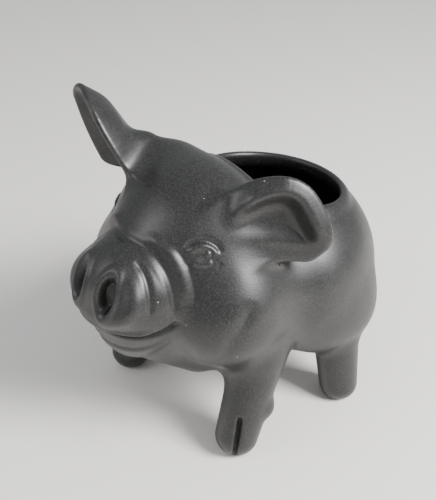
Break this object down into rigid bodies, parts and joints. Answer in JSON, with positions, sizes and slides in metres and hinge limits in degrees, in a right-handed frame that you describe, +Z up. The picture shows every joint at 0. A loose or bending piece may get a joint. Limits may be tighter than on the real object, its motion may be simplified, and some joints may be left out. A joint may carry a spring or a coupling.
{
  "type": "pig planter",
  "caption": "Ceramic pig planter with a wide oval opening in its back, drooping ears and stout cloven feet, in a satin black glaze.",
  "frame": {"origin": "on the floor under the middle of the figure, midway between the nose and the tail and between its left and right sides", "axes": "+Z up; +Y from the nose towards the tail; +X towards the pig's own left side"},
  "size_m": [0.14, 0.1783, 0.1753],
  "materials": {
    "satin_black_glaze": "satin"
  },
  "bodies": {
    "root": {"pot": "satin_black_glaze", "head": "satin_black_glaze", "ear_left": "satin_black_glaze", "ear_right": "satin_black_glaze", "front_leg_left": "satin_black_glaze", "front_leg_right": "satin_black_glaze", "rear_leg_left": "satin_black_glaze", "rear_leg_right": "satin_black_glaze", "eye_left": "satin_black_glaze", "eye_right": "satin_black_glaze", "tail": "satin_black_glaze"}
  },
  "joints": []
}
